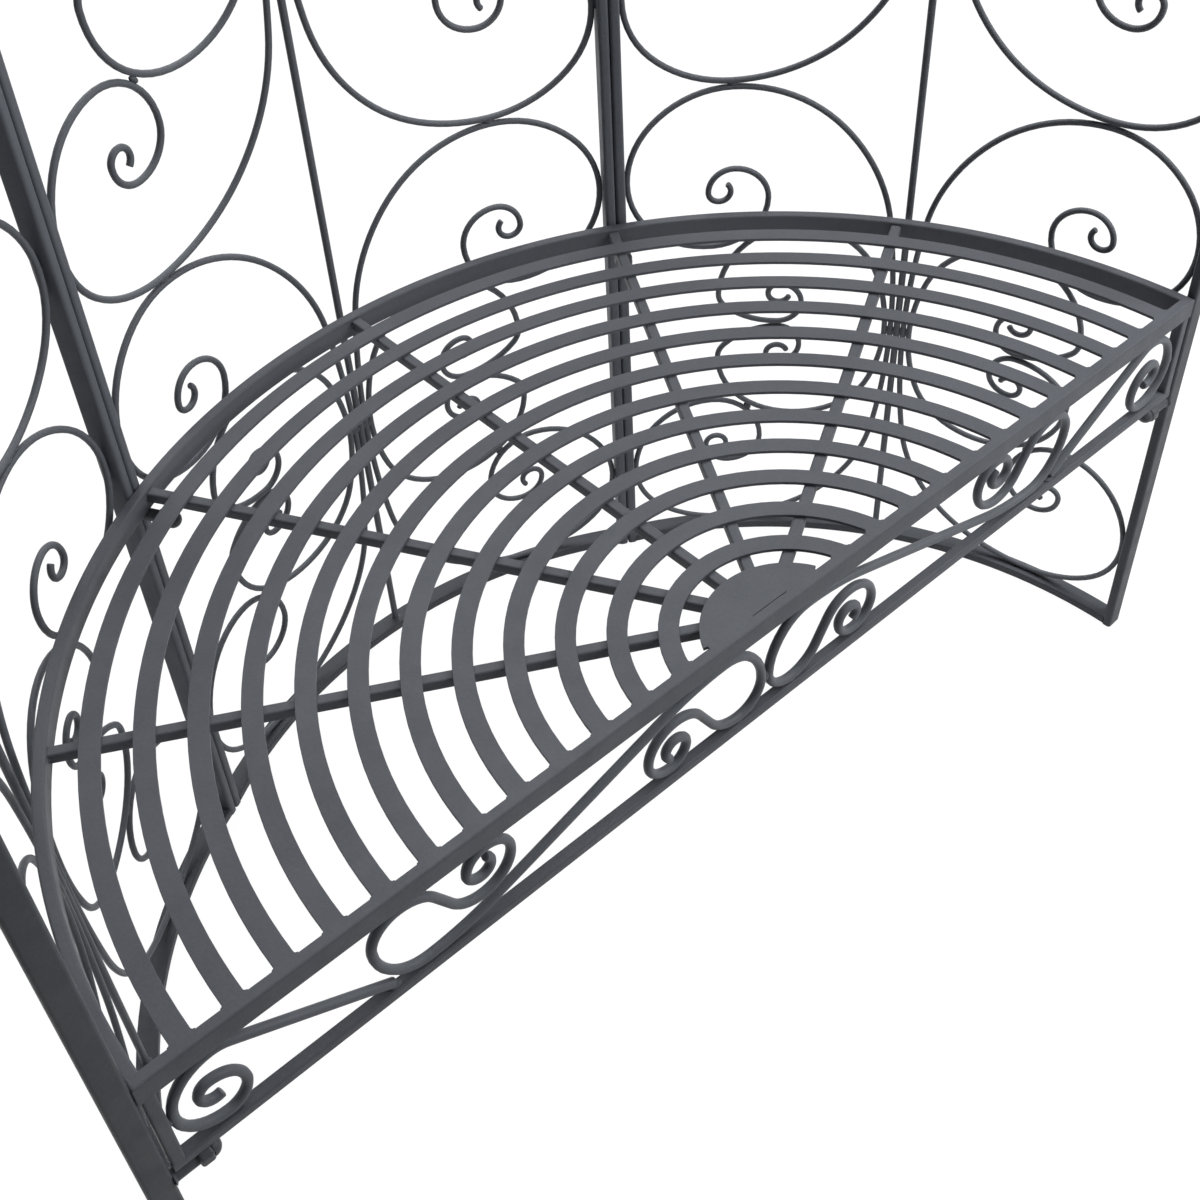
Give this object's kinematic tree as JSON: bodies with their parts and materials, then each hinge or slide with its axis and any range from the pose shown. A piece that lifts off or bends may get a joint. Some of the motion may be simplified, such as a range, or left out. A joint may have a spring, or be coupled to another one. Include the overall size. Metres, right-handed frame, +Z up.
{
  "type": "metal gazebo",
  "caption": "Half-round metal garden gazebo: curved scrollwork wall panels around a slatted bench, an arch over the open front and ribs for climbing plants.",
  "frame": {"origin": "on the ground, in the middle of the box around the gazebo", "axes": "+X to the right along the open front as a person facing the bench sees it, +Y from the open front to the back, +Z up"},
  "size_m": [1.1594, 0.5736, 2.2885],
  "materials": {
    "frame_coat": "satin",
    "scroll_coat": "satin",
    "bench_coat": "satin",
    "bolt_coat": "satin"
  },
  "bodies": {
    "root": {"left_post_front": "frame_coat", "left_post_back": "frame_coat", "left_bottom_rail": "frame_coat", "left_top_rail": "frame_coat", "left_centre_rod": "frame_coat", "left_large_scrolls_front": "scroll_coat", "left_large_scrolls_back": "scroll_coat", "left_small_scrolls_front": "scroll_coat", "left_small_scrolls_back": "scroll_coat", "back_post_left": "frame_coat", "back_post_right": "frame_coat", "back_bottom_rail": "frame_coat", "back_top_rail": "frame_coat", "back_centre_rod": "frame_coat", "back_large_scrolls_left": "scroll_coat", "back_large_scrolls_right": "scroll_coat", "back_small_scrolls_left": "scroll_coat", "back_small_scrolls_right": "scroll_coat", "right_post_back": "frame_coat", "right_post_front": "frame_coat", "right_bottom_rail": "frame_coat", "right_top_rail": "frame_coat", "right_centre_rod": "frame_coat", "right_large_scrolls_back": "scroll_coat", "right_large_scrolls_front": "scroll_coat", "right_small_scrolls_back": "scroll_coat", "right_small_scrolls_front": "scroll_coat", "seat_ring": "bench_coat", "front_tube": "bench_coat", "hub_plate": "bench_coat", "spoke_1": "bench_coat", "spoke_2": "bench_coat", "spoke_3": "bench_coat", "spoke_4": "bench_coat", "spoke_5": "bench_coat", "slat_1": "bench_coat", "slat_2": "bench_coat", "slat_3": "bench_coat", "slat_4": "bench_coat", "slat_5": "bench_coat", "slat_6": "bench_coat", "slat_7": "bench_coat", "slat_8": "bench_coat", "slat_9": "bench_coat", "slat_10": "bench_coat", "slat_11": "bench_coat", "slat_12": "bench_coat", "apron_rail": "bench_coat", "apron_upright_left": "bench_coat", "apron_upright_right": "bench_coat", "apron_end_scroll_left": "scroll_coat", "apron_end_scroll_right": "scroll_coat", "apron_middle_scroll_left": "scroll_coat", "apron_middle_scroll_right": "scroll_coat", "bench_bolts": "bolt_coat", "roof_arch": "frame_coat", "roof_rib_left": "frame_coat", "roof_rib_right": "frame_coat", "crown_plate": "frame_coat"}
  },
  "joints": []
}
